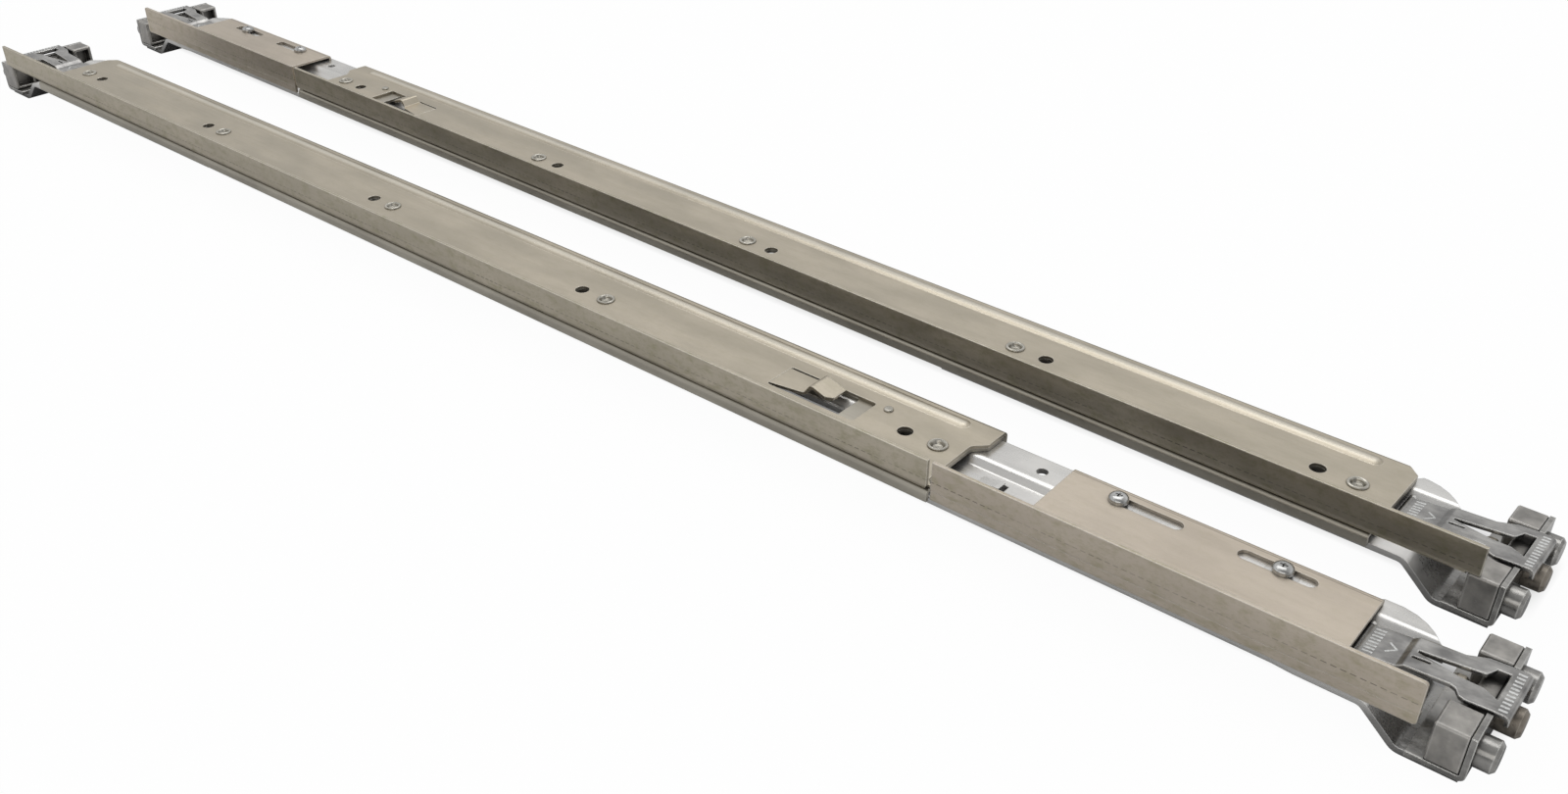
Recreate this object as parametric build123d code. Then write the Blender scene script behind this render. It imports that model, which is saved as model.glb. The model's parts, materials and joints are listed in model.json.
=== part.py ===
from build123d import *
from math import cos, sin, radians
import os

# A left and right pair of adjustable rack rails for a server one rack unit high.
# Each rail lies on its rack side, with the face that meets the server upwards.
# Rail frame: x runs from the front post to the rear post, y runs up the rack from the
# outer face of the ledge wall, and z = 0 is the face that meets the server.
# Inside an end assembly, w is measured outwards along the rail from the inner face of
# the pin plate, so the same parts serve the front and the rear end.

# Rack standard
pin_pitch = 31.75            # between the two outer square holes of one rack unit
web_height = 43.8            # rail web, a little under one rack unit of 44.45
mid_y = web_height / 2       # line of the rivets, holes and the centre boss

# Main rail
rail_sheet = 1.2
wall_corner_radius = 3.0     # lower rear corner of the ledge wall
jog_radius = 2.0
web_front = -12.4            # front end of the web, ahead of the first rivet
web_length = 558.8
front_reach = 37.3           # front pin plate ahead of the web
ledge_height = 10.4          # ledge wall above the web
wall_overhang = 31.6         # ledge wall ahead of the web
wall_setback = 1.7           # ledge wall short of the rear end of the web
block_relief_level = 0.5     # foot of the wall where it passes over the front block
far_lip = 4.6                # fold along the upper edge of the web
channel_lip = 5.4            # lips of the inner channel, below the web face
channel_inset = 0.5          # near lip of the channel behind the ledge wall
jog_depth = 4.2              # 45 degree step in the rear end of the web
jog_y = web_height - 15.5
front_chamfer = 5.0
rivet_stations = (0.0, 125.0, 254.0, 383.0)
hole_step = 12.8             # each hole sits beside a rivet, by turns ahead and behind
last_rivet_inset = 12.4      # last rivet to the rear end of the web
hole_radius = 2.7
rivet_shank_radius = 2.2
rivet_head_radius = 3.35
rivet_head_height = 0.35
rivet_dish_radius = 2.0
rivet_tail_radius = 3.8
rivet_tail_height = 1.6
bead_y = web_height - 6.2
bead_width = 5.4
bead_rise = 0.8
bead_end_inset = 10.8
pip_radius = 1.7
pip_height = 0.7

# Sprung tongue in the web
tongue_root_inset = 78.6     # from the rear end of the web
tongue_flat = 13.2
tongue_riser_run = 2.3
tongue_rise = 3.3
tongue_ramp_run = 8.5
tongue_tip_level = 0.5
tongue_taper = 1.8           # near edge of the flat, root to end
tongue_near_y = mid_y - 5.3
tongue_far_y = mid_y + 6.5
hook_near_y = mid_y - 2.0
hook_far_y = mid_y + 7.0
window_length = 36.6
window_near_y = mid_y - 6.2
window_far_y = mid_y + 7.4
inner_window_length = 29.4
tongue_gap = 0.05

# Brackets at both ends
bracket_sheet = 2.0
running_gap = 0.1            # slide bracket to the channel
flat_level = -(2 * rail_sheet + running_gap)
floor_drop = 2.3             # pressed floor below the flat
floor_level = flat_level - floor_drop
tail_near_y = 2.4
end_near_y = 1.9
step_y = mid_y + 4.2
step_run = 2.3
end_step_y = web_height - 11.4
flat_far_y = web_height - 3.0
end_far_y = web_height - 1.4
section_change_w = -44.0
near_flare_w = (-51.0, -45.0)
far_flare_w = -36.4
front_tail_length = 192.0    # front bracket, from the pin plate to its hidden end
front_shoulder_shift = 4.0   # its far corner ends nearer the web than the rear one
shoulder_w = (-16.0, -18.6, -21.0, -23.6, -27.0)
shoulder_end_w = -31.0
shoulder_inset = (10.8, 9.1, 6.4, 4.2, 2.4)   # from the upper edge of the web
dip_start_w = -26.5
dip_end_w = -16.0
dip_level = -14.2
dip_far_y = web_height - 12.3
dip_radius = 3.0

# Depth adjustment
rear_reach = 160.3           # rear pin plate behind the rear end of the web
slide_travel = 150.0
tail_hidden = 214.0          # slide bracket inside the channel when collapsed
guide_shank_radius = 2.9
guide_head_radius = 5.0
guide_head_height = 1.5
spacer_radius = 4.0
sight_hole_inset = 19.1      # hole behind the web, from its rear end
sight_hole_y = web_height - 9.8
sight_hole_radius = 1.9
tab_inset = (4.6, 12.6)      # small lanced tab behind the web, from its rear end
tab_y = (mid_y - 2.9, mid_y + 1.2)
tab_rise = 1.0
tab_slit = 1.4

# Ledge extension
extension_start = 27.8       # its plate behind the main web
extension_end_w = -35.7
extension_wall_end_w = -12.7
extension_far_y = web_height - 4.2
extension_wall_foot = 3.3
extension_lip = 2.4
screw_y = web_height - 11.1
screw_w = (-114.2, -62.3)
slot_w = (-104.7, -63.9)     # middles of the two slots
slot_length = 23.6
slot_width = 4.6
screw_thread_radius = 2.0
screw_head_radius = 4.0
screw_head_height = 2.2
nut_radius = 3.5
nut_height = 2.2
seat_radius = 5.0

# Pin plate, blocks and pins
plate_sheet = 1.6
plate_near_y = 0.2
plate_top = 0.3
plate_notch_y = (mid_y - 10.1, mid_y + 11.5)
plate_notch_level = -1.9
plate_foot_length = 13.5
block_length = 9.0
near_block_y = (0.2, 11.2)
far_block_y = (web_height - 9.8, web_height - 0.2)
middle_block_length = 5.5
middle_block_top = -2.6
pocket_wall = 1.4            # around the pockets in the outer blocks
pocket_depth = 4.5
pin_radius = 4.6
pin_length = 5.2
pin_chamfer = 1.0
pin_level = -6.8
pin_spigot_radius = 2.4      # through the plate and into the casting
pin_spigot_length = 3.6
boss_radius = 4.2
boss_length = 6.4

# Latch lever
latch_sheet = 1.2
pivot_w = -35.4
pivot_level = -4.2
pivot_radius = 0.8
pivot_play = 0.05
knuckle_radius = 1.3
pivot_opening_w = (-37.0, -33.7)   # in the bracket floor, under the knuckle
lever_near_y = mid_y - 5.2
lever_far_y = mid_y + 8.6
ear_sheet = 1.2
ear_gap = 0.3
lever_root_level = -2.9
lever_slit_w = (-22.0, -17.0)
lever_slit_width = 0.9
lever_groove_w = (-24.5, -22.5)
lever_groove_level = (-1.9, -0.6)
bar_inner_w = 0.6
bar_outer_w = 5.3
bar_level = 0.8
bar_near_y = mid_y - 9.1
bar_far_y = mid_y + 10.8
bar_lip_level = -2.3
leaf_sheet = 0.5
leaf_path = ((-33.0, floor_level + leaf_sheet), (-26.5, floor_level + leaf_sheet), (-12.5, -2.9),
             (-10.5, -1.6), (-8.4, -1.6), (-7.6, -2.6))
leaf_y = (mid_y - 0.1, mid_y + 2.6)

# How the second rail lies beside the first, as in the photograph
pair_offset = (644.0, 65.9)  # origin of the right rail in the frame of the left one
pair_skew = 1.43             # degrees

# Places that follow from the sizes above
web_rear = web_front + web_length
last_rivet_x = web_rear - last_rivet_inset
front_plate_x = web_front - front_reach
rear_plate_x = web_rear + rear_reach
wall_front = web_front - wall_overhang
wall_rear = web_rear - wall_setback
channel_floor = -2 * rail_sheet
tongue_root_x = web_rear - tongue_root_inset
rivet_x = rivet_stations + (last_rivet_x,)
hole_x = (rivet_x[0] + hole_step, rivet_x[1] - hole_step, rivet_x[2] - hole_step,
          rivet_x[3] - hole_step, rivet_x[4] - hole_step)
tail_w = web_rear - tail_hidden - rear_plate_x
dip_floor_top = dip_level


def folded(points, thickness, inner_radius):
    """Face of a folded sheet. The points follow one skin; the other lies to its right."""
    path = [Vector(x, y) for x, y in points]
    runs = [(b - a).normalized() for a, b in zip(path, path[1:])]
    rights = [Vector(run.Y, -run.X) for run in runs]
    other = [path[0] + rights[0] * thickness]
    skin_radii, other_radii = [], []
    for corner, before, after, run, following in zip(path[1:], rights, rights[1:], runs, runs[1:]):
        mitre = (before + after) * (thickness / (1 + before.dot(after)))
        other.append(corner + mitre)
        turns_left = run.X * following.Y - run.Y * following.X > 0
        skin_radii.append(inner_radius if turns_left else inner_radius + thickness)
        other_radii.append(inner_radius + thickness if turns_left else inner_radius)
    other.append(path[-1] + rights[-1] * thickness)
    first = FilletPolyline(*path, radius=skin_radii)
    second = FilletPolyline(*other, radius=other_radii)
    ends = [Line(path[0], other[0]), Line(path[-1], other[-1])]
    return make_face(Curve() + [first, second] + ends)


def along_x(face, start, end):
    """Extrude a section drawn in y and z from x = start to x = end."""
    return extrude(Plane.YZ.offset(start) * face, amount=end - start)


def along_y(face, start, end):
    """Extrude a profile drawn in x and z from y = start to y = end."""
    return extrude(Plane.XZ.offset(-end) * face, amount=end - start)


def upright(face, bottom, top):
    """Extrude an outline drawn in x and y from z = bottom to z = top."""
    return extrude(Plane.XY.offset(bottom) * face, amount=top - bottom)


def outline(*points):
    return make_face(Polyline(*points, close=True))


def disc(x, y, radius, bottom, top):
    return upright(Pos(x, y) * Circle(radius), bottom, top)


def slot(x, y, length, width, bottom, top):
    return upright(Pos(x, y) * SlotOverall(length, width), bottom, top)


def rounding(x, z, radius, ahead, up):
    """Waste to take off a square corner in x and z; ahead and up are 1 or -1."""
    waste = Pos(x - ahead * (radius - 1) / 2, z - up * (radius - 1) / 2) * Rectangle(radius + 1, radius + 1)
    return waste - Pos(x - ahead * radius, z - up * radius) * Circle(radius)


def web_outline(clear):
    """Plan of the web: jogged rear end, chamfered front corner, wall overhanging in front."""
    jog_x = web_rear - jog_depth
    foot = rail_sheet + 2.6
    plan = outline(
        (wall_front, -clear), (wall_rear, -clear), (wall_rear, foot - 1.0), (jog_x, foot + 1.0),
        (jog_x, jog_y), (web_rear, jog_y + jog_depth), (web_rear, web_height + clear),
        (web_front + front_chamfer, web_height + clear),
        (web_front + front_chamfer, web_height - 0.5),
        (web_front, web_height - front_chamfer - 0.5), (web_front, foot + 2.0),
        (web_front - 2.0, foot), (wall_front, foot))
    jog = [corner for corner in plan.vertices()
           if corner.X > jog_x - 1 and jog_y - 1 < corner.Y < jog_y + jog_depth + 1]
    return fillet(jog, jog_radius)


def ledge_rail():
    """Outer sheet of the main rail: web, ledge wall, folded upper edge and long bead."""
    section = folded([(rail_sheet, ledge_height), (rail_sheet, 0), (web_height, 0),
                      (web_height, -far_lip)], rail_sheet, 1.2)
    body = along_x(section, wall_front, web_rear)
    body = body & upright(web_outline(1.0), -20, 20)
    bead_start = web_front + bead_end_inset
    bead_end = web_rear - bead_end_inset
    body += bead(bead_start + bead_width / 2, bead_end - bead_width / 2)
    body -= along_y(rounding(wall_rear, -rail_sheet, wall_corner_radius, 1, -1), -1, rail_sheet * 2)
    block_clearance = outline((wall_front - 1, -2), (wall_front - 1, block_relief_level),
                              (front_plate_x + block_length + 0.6, block_relief_level),
                              (front_plate_x + block_length + 0.6, -2))
    body -= along_y(block_clearance, -1, near_block_y[1] + 1)
    for x in hole_x:
        body -= disc(x, mid_y, hole_radius, -rail_sheet - 1, 1)
    for x in rivet_x:
        body -= disc(x, mid_y, rivet_shank_radius, -rail_sheet - 1, 1)
    window = RectangleRounded(window_length, window_far_y - window_near_y, 1.2)
    window_middle = Pos(tongue_root_x + window_length / 2, (window_near_y + window_far_y) / 2)
    return body - upright(window_middle * window, -rail_sheet - 1, 1)


def bead(start, end):
    """Round-backed bead with domed ends, a slice of a cylinder and of two balls."""
    back_radius = (bead_width ** 2 / 4 + bead_rise ** 2) / (2 * bead_rise)
    centre = bead_rise - back_radius
    back = along_x(Pos(bead_y, centre) * Circle(back_radius), start, end)
    for x in (start, end):
        back += Pos(x, bead_y, centre) * Sphere(back_radius)
    above = Pos((start + end) / 2, bead_y) * Rectangle(end - start + 2 * bead_width, 2 * bead_width)
    return back & upright(above, -0.3, bead_rise + 1)


def channel():
    """Inner sheet of the main rail, a shallow channel that the slide bracket runs in."""
    far = web_height - rail_sheet
    section = folded([(channel_inset, -channel_lip), (channel_inset, -rail_sheet),
                      (far, -rail_sheet), (far, -channel_lip)], rail_sheet, 0.5)
    body = along_x(section, web_front, web_rear)
    body = body & upright(web_outline(1.0), -20, 20)
    for x in hole_x:
        body -= disc(x, mid_y, hole_radius, channel_floor - 1, 1)
    for x in rivet_x:
        body -= disc(x, mid_y, rivet_shank_radius, channel_floor - 1, 1)
    window = RectangleRounded(inner_window_length, window_far_y - window_near_y, 1.2)
    window_middle = Pos(tongue_root_x + inner_window_length / 2, (window_near_y + window_far_y) / 2)
    return body - upright(window_middle * window, channel_floor - 1, 1)


def rivet(x, spacer_bottom=None):
    """Flared rivet through both sheets, with a low dished head."""
    head = disc(x, mid_y, rivet_head_radius, 0, rivet_head_height)
    head = chamfer(head.edges().sort_by(Axis.Z)[-1:], rivet_head_height * 0.7)
    bottom = channel_floor if spacer_bottom is None else spacer_bottom
    body = head + disc(x, mid_y, rivet_shank_radius, bottom, rivet_head_height)
    return body - disc(x, mid_y, rivet_dish_radius, 0.05, 1)


def web_rivets():
    """Plain rivets at the middle stations, with flat tails under the channel."""
    solids = []
    for x in rivet_x[2:4]:
        tail = disc(x, mid_y, rivet_tail_radius, channel_floor - rivet_tail_height, channel_floor)
        solids.append(rivet(x) + tail)
    return Compound(children=solids)


def bracket_rivets():
    """Shouldered rivets that hold the front bracket against the channel."""
    solids = []
    floor_bottom = floor_level - bracket_sheet
    for x in rivet_x[:2]:
        shoulder = disc(x, mid_y, spacer_radius, floor_level, channel_floor)
        tail = disc(x, mid_y, rivet_tail_radius, floor_bottom - guide_head_height, floor_bottom)
        solids.append(rivet(x, floor_bottom) + shoulder + tail)
    return Compound(children=solids)


def guide_rivet():
    """Shouldered rivet that guides the slide bracket in its long slot."""
    floor_bottom = floor_level - bracket_sheet - running_gap
    shank = disc(last_rivet_x, mid_y, guide_shank_radius, floor_bottom, channel_floor)
    head = disc(last_rivet_x, mid_y, guide_head_radius, floor_bottom - guide_head_height,
                floor_bottom)
    return rivet(last_rivet_x) + shank + head


def stop_pip():
    """Small domed rivet between the tongue window and the last hole."""
    x = hole_x[4] - 11.6
    pip = disc(x, window_far_y - 0.6, pip_radius, 0, pip_height)
    return fillet(pip.edges().sort_by(Axis.Z)[-1:], pip_height * 0.8)


def tongue():
    """Spring tongue: flat root, steep riser, then a ramp down to the free end."""
    riser_x = tongue_flat
    crest_x = riser_x + tongue_riser_run
    tip_x = crest_x + tongue_ramp_run
    profile = folded([(tongue_gap, 0), (riser_x, 0), (crest_x, tongue_rise),
                      (tip_x, tongue_tip_level)], rail_sheet, 0.4)
    body = along_y(profile, tongue_near_y, hook_far_y)
    taper_y = tongue_near_y + tongue_taper
    plan = outline((0, tongue_near_y), (riser_x - 3.0, taper_y), (riser_x - 1.0, taper_y + 0.3),
                   (riser_x + 0.8, hook_near_y), (tip_x - 2.2, hook_near_y),
                   (tip_x + 1, hook_near_y + 3.2), (tip_x + 1, hook_far_y), (riser_x, hook_far_y),
                   (riser_x - 1.5, tongue_far_y), (0, tongue_far_y))
    return Pos(tongue_root_x, 0, 0) * (body & upright(plan, -5, 10))


def bracket(tail, near_end_of_tail, shoulder_shift=0.0):
    """End bracket in w: ridged strip in the channel, widened end, and the dip for the blocks."""
    thick = bracket_sheet
    strip = folded([(end_near_y, floor_level), (step_y, floor_level), (step_y + step_run, flat_level),
                    (flat_far_y, flat_level)], thick, 1.2)
    wide = folded([(end_near_y, floor_level), (end_step_y, floor_level),
                   (end_step_y + step_run, flat_level), (end_far_y, flat_level)], thick, 1.2)
    body = along_x(strip, tail, section_change_w)
    wide_end = along_x(wide, section_change_w, -14.0)
    joggle = along_x(Pos((step_y + end_step_y) / 2 + 1.8, (floor_level - thick + flat_level) / 2)
                     * Rectangle(end_step_y - step_y + 3.6, flat_level - floor_level + thick),
                     section_change_w, section_change_w + thick)
    shoulder = [(w - shoulder_shift, web_height - inset)
                for w, inset in zip(shoulder_w, shoulder_inset)]
    shoulder.append((shoulder_end_w - shoulder_shift, end_far_y))
    plan = outline(
        (tail, near_end_of_tail), (near_flare_w[0], near_end_of_tail), (near_flare_w[1], end_near_y),
        (dip_start_w - 3.0, end_near_y), (dip_start_w - 3.0, dip_far_y),
        (shoulder[0][0], dip_far_y), *shoulder, (far_flare_w, end_far_y),
        (far_flare_w - 1.4, flat_far_y), (tail, flat_far_y))
    body = (body + wide_end + joggle) & upright(plan, -20, 5)
    dip = folded([(dip_start_w - 4.0, floor_level), (dip_start_w, floor_level),
                  (dip_end_w, dip_level), (0, dip_level)], thick, dip_radius)
    body += along_y(dip, end_near_y, dip_far_y)
    opening = Pos(sum(pivot_opening_w) / 2, floor_level) * Rectangle(
        pivot_opening_w[1] - pivot_opening_w[0], 3 * thick)
    body -= along_y(opening, lever_near_y - ear_gap, lever_far_y + ear_gap)
    for near, far in pivot_ears():
        ear = Pos(pivot_w, (pivot_level + floor_level) / 2) * Rectangle(
            2 * knuckle_radius, pivot_level - floor_level)
        ear = ear + Pos(pivot_w, pivot_level) * Circle(knuckle_radius)
        body += along_y(ear, near, far)
        body -= along_y(Pos(pivot_w, pivot_level) * Circle(pivot_radius), near, far)
    return body


def pivot_ears():
    """Near and far faces of the two ears beside the lever's knuckle."""
    return ((lever_near_y - ear_gap - ear_sheet, lever_near_y - ear_gap),
            (lever_far_y + ear_gap, lever_far_y + ear_gap + ear_sheet))


def front_bracket():
    """Fixed bracket, drawn at the rear end and turned round for the front."""
    body = bracket(-front_tail_length, end_near_y, front_shoulder_shift)
    for x in rivet_x[:2]:
        body -= disc(front_plate_x - x, mid_y, rivet_shank_radius + 0.05, -20, 0)
    for x in hole_x[:2]:
        body -= disc(front_plate_x - x, mid_y, hole_radius + 1.0, -20, 0)
    return body


def slide_bracket():
    """Sliding bracket with its guide slot, screw seats and sight hole."""
    body = bracket(tail_w, tail_near_y)
    slot_end = last_rivet_x - rear_plate_x
    slot_radius = guide_shank_radius + running_gap
    length = slide_travel + 2 * slot_radius
    body -= slot(slot_end - slide_travel / 2, mid_y, length, 2 * slot_radius, -20, 0)
    body -= disc(web_rear + sight_hole_inset - rear_plate_x, sight_hole_y, sight_hole_radius, -20, 0)
    body = body + lanced_tab() - tab_window()
    for w in screw_w:
        body += disc(w, screw_y, seat_radius, flat_level - bracket_sheet, -rail_sheet)
        body -= disc(w, screw_y, screw_thread_radius, -20, 0)
    return body


def tab_ends():
    return [web_rear + inset - rear_plate_x for inset in tab_inset]


def lanced_tab():
    """Small tab pushed up out of the bracket floor, behind the web."""
    start, end = tab_ends()
    ramp = outline((start, floor_level - 0.5), (start, floor_level), (end - 1.5, floor_level + tab_rise),
                   (end, floor_level + tab_rise), (end, floor_level - 0.5))
    return along_y(ramp, *tab_y)


def tab_window():
    start, end = tab_ends()
    window = Pos(end + tab_slit / 2, floor_level) * Rectangle(tab_slit, 3 * bracket_sheet)
    return along_y(window, *tab_y)


def ledge_extension():
    """Plate and ledge wall that carry the ledge on over the slide bracket."""
    plate_start = web_rear + extension_start - rear_plate_x
    wall_start = web_rear - rear_plate_x
    section = folded([(rail_sheet, ledge_height), (rail_sheet, 0), (extension_far_y, 0),
                      (extension_far_y, -extension_lip)], rail_sheet, 0.4)
    foot = Pos(rail_sheet / 2, -extension_wall_foot / 2) * Rectangle(rail_sheet, extension_wall_foot)
    body = along_x(section, wall_start, extension_wall_end_w) + along_x(
        foot, wall_start, extension_wall_end_w)
    plan = outline((wall_start, -1), (extension_wall_end_w, -1), (extension_wall_end_w, 2.4),
                   (extension_end_w + 2.0, 2.4), (extension_end_w, 4.4),
                   (extension_end_w, extension_far_y + 1), (plate_start, extension_far_y + 1),
                   (plate_start, 4.4), (plate_start - 2.0, 2.4), (wall_start, 2.4))
    body = body & upright(plan, -20, 20)
    for w in slot_w:
        body -= slot(w, screw_y, slot_length, slot_width, -rail_sheet - 1, 1)
    for level, up in ((ledge_height, 1), (-extension_wall_foot, -1)):
        body -= along_y(rounding(extension_wall_end_w, level, 1.2, 1, up), -1, rail_sheet + 0.5)
    return body


def clamp_screws():
    """Pan head screws with cross recesses, through the slots into the bracket."""
    solids = []
    for w in screw_w:
        tip = flat_level - bracket_sheet - nut_height
        head = disc(w, screw_y, screw_head_radius, 0, screw_head_height)
        head = fillet(head.edges().sort_by(Axis.Z)[-1:], 1.6)
        arms = Pos(w, screw_y) * (Rectangle(4.0, 0.9) + Rectangle(0.9, 4.0))
        head -= upright(arms, screw_head_height - 1.1, screw_head_height + 1)
        solids.append(head + disc(w, screw_y, screw_thread_radius, tip, 0.2))
    return Compound(children=solids)


def clamp_nuts():
    """Round press nuts under the slide bracket."""
    solids = []
    top = flat_level - bracket_sheet
    for w in screw_w:
        ring = disc(w, screw_y, nut_radius, top - nut_height, top)
        solids.append(ring - disc(w, screw_y, screw_thread_radius, top - nut_height - 1, top + 1))
    return Compound(children=solids)


def pin_plate():
    """Plate behind the rack post, with a foot folded back under the blocks."""
    foot_end = -plate_foot_length
    profile = folded([(plate_sheet, plate_top), (plate_sheet, dip_floor_top), (foot_end, dip_floor_top)],
                     plate_sheet, 0.4)
    body = along_y(profile, plate_near_y, web_height - plate_near_y)
    notch = outline((plate_notch_y[0], plate_notch_level), (plate_notch_y[1], plate_notch_level),
                    (plate_notch_y[1], 5), (plate_notch_y[0], 5))
    body -= along_x(notch, -1, plate_sheet + 1)
    for y in pin_rows():
        hole = Pos(y, pin_level) * Circle(pin_spigot_radius)
        body -= along_x(hole, -1, plate_sheet + 1)
    return body


def pin_rows():
    return (mid_y - pin_pitch / 2, mid_y, mid_y + pin_pitch / 2)


def pin_blocks():
    """Die casting that backs the pins: two pocketed blocks joined by a lower middle block."""
    rows = pin_rows()
    bottom = dip_floor_top + plate_sheet
    middle_near, middle_far = near_block_y[1] - 1, far_block_y[0] + 1
    middle = Pos((middle_near + middle_far) / 2, (bottom + middle_block_top) / 2) * Rectangle(
        middle_far - middle_near, middle_block_top - bottom)
    body = along_x(middle, -middle_block_length, 0)
    body = chamfer(body.edges(), 0.5)
    for near, far in (near_block_y, far_block_y):
        place = Pos((near + far) / 2, (bottom + plate_top) / 2)
        block = along_x(place * Rectangle(far - near, plate_top - bottom), -block_length, 0)
        block = chamfer(block.edges(), 0.5)
        pocket = place * Rectangle(far - near - 2 * pocket_wall, plate_top - bottom - 2 * pocket_wall)
        body = body + block - along_x(pocket, -block_length - 1, -block_length + pocket_depth)
    for row in rows:
        bore = Pos(row, pin_level) * Circle(pin_spigot_radius)
        body -= along_x(bore, -pin_spigot_length, 1)
    return body


def stud(row, radius, length):
    """Round pin on the outer face of the plate, with its spigot through the plate."""
    body = along_x(Pos(row, pin_level) * Circle(radius), plate_sheet, plate_sheet + length)
    body = chamfer(body.edges().filter_by(GeomType.CIRCLE).sort_by(Axis.X)[-1:], pin_chamfer)
    spigot = Pos(row, pin_level) * Circle(pin_spigot_radius)
    return body + along_x(spigot, -pin_spigot_length, plate_sheet)


def rack_pins():
    """Two pins for the outer holes of one rack unit."""
    rows = pin_rows()
    return Compound(children=[stud(rows[0], pin_radius, pin_length),
                              stud(rows[2], pin_radius, pin_length)])


def centre_boss():
    return stud(pin_rows()[1], boss_radius, boss_length)


def latch_lever():
    """Forked lever with a rolled knuckle, pressed groove and hooked end bar."""
    start_w = pivot_w + 0.4
    profile = folded([(start_w, lever_root_level), (lever_groove_w[0], lever_groove_level[0]),
                      (lever_groove_w[1], lever_groove_level[1]), (bar_inner_w, bar_level - 0.1),
                      (bar_outer_w, bar_level), (bar_outer_w, bar_lip_level)], latch_sheet, 0.5)
    body = along_y(profile, bar_near_y, bar_far_y)
    plan = outline(
        (start_w - 1, lever_near_y), (-10.6, lever_near_y), (-9.0, 15.9), (-7.6, 13.6),
        (-6.0, bar_near_y), (bar_outer_w + 1, bar_near_y), (bar_outer_w + 1, bar_far_y),
        (-5.6, bar_far_y), (-8.4, 31.6), (-11.0, lever_far_y), (start_w - 1, lever_far_y))
    wedge = outline(
        (-21.2, 24.9), (-4.5, 26.0), (-2.8, 29.4), (bar_inner_w, 29.4), (bar_inner_w, 17.6),
        (-3.6, 20.2), (-9.6, 20.8), (-21.2, 24.0))
    body = body & upright(plan, -10, 10)
    body -= upright(wedge, -10, 10)
    slit_w = sum(lever_slit_w) / 2
    body -= slot(slit_w, mid_y - 0.4, lever_slit_w[1] - lever_slit_w[0], lever_slit_width, -10, 10)
    knuckle = Pos(pivot_w, pivot_level) * Circle(knuckle_radius)
    body += along_y(knuckle, lever_near_y, lever_far_y)
    bore = Pos(pivot_w, pivot_level) * Circle(pivot_radius + pivot_play)
    return body - along_y(bore, lever_near_y - 1, lever_far_y + 1)


def latch_pin():
    ears = pivot_ears()
    return along_y(Pos(pivot_w, pivot_level) * Circle(pivot_radius), ears[0][0], ears[1][1])


def latch_spring():
    """Leaf spring fixed to the bracket, rising into the fork of the lever."""
    profile = folded(leaf_path, leaf_sheet, 0.6)
    return along_y(profile, *leaf_y)


def turned_round(shape):
    """The mirror image in x, solid by solid."""
    solids = [Solid(mirror(solid, Plane.YZ).solids()[0].wrapped) for solid in shape.solids()]
    return solids[0] if len(solids) == 1 else Compound(children=solids)


def at_rear(shape):
    return Pos(rear_plate_x, 0, 0) * shape


def at_front(shape):
    return Pos(front_plate_x, 0, 0) * turned_round(shape)


def rail_parts():
    """Every piece of the left rail in its own frame, by name."""
    parts = {
        "ledge_rail": ledge_rail(), "channel": channel(), "web_rivets": web_rivets(),
        "bracket_rivets": bracket_rivets(), "guide_rivet": guide_rivet(), "stop_pip": stop_pip(),
        "tongue": tongue(), "front_bracket": at_front(front_bracket()),
        "slide_bracket": at_rear(slide_bracket()), "ledge_extension": at_rear(ledge_extension()),
        "clamp_screws": at_rear(clamp_screws()), "clamp_nuts": at_rear(clamp_nuts()),
    }
    end_pieces = {
        "pin_plate": pin_plate(), "pin_blocks": pin_blocks(), "rack_pins": rack_pins(),
        "centre_boss": centre_boss(), "latch_lever": latch_lever(), "latch_pin": latch_pin(),
        "latch_spring": latch_spring(),
    }
    for name, shape in end_pieces.items():
        parts["front_" + name] = at_front(shape)
        parts["rear_" + name] = at_rear(shape)
    return parts


left_parts = rail_parts()
skewed = Pos(pair_offset[0], pair_offset[1], 0) * Rot(0, 0, -pair_skew)
placed = {}
for part_name, part_shape in left_parts.items():
    placed["left_" + part_name] = part_shape
    placed["right_" + part_name] = skewed * turned_round(part_shape)

# The origin is under the middle of the pair, on the surface that it lies on
boxes = [part_shape.bounding_box() for part_shape in placed.values()]
whole_low = [min(tuple(box.min)[axis] for box in boxes) for axis in range(3)]
whole_high = [max(tuple(box.max)[axis] for box in boxes) for axis in range(3)]
whole_size = [high - low for low, high in zip(whole_low, whole_high)]
origin_shift = (-(whole_low[0] + whole_high[0]) / 2, -(whole_low[1] + whole_high[1]) / 2,
                -whole_low[2])

if __name__ == "__main__":
    os.makedirs("parts", exist_ok=True)
    for part_name, part_shape in placed.items():
        export_step(Pos(*origin_shift) * part_shape, f"parts/{part_name}.step")
    print("pair", [round(size, 1) for size in whole_size], "mm")
    print("rack depth collapsed", round(rear_plate_x - front_plate_x, 1), "mm")
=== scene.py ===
# %% [markdown]
# # A pair of server rack rails
#
# The object is a left and a right rail that carry a server in a rack. Each rail is bent
# from galvanised sheet, slides to the depth of the rack, and ends in round pins and a
# sprung latch that snap into the rack's square holes. The solids come from the CAD model,
# so this lesson is mostly about the finish of the metal, and about the small turned,
# pressed and printed details that make sheet metal look real.

# %% Load the frame
import json
from math import atan2, cos, pi, radians, sin

import bmesh
import bpy
from mathutils import Matrix, Vector


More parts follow.
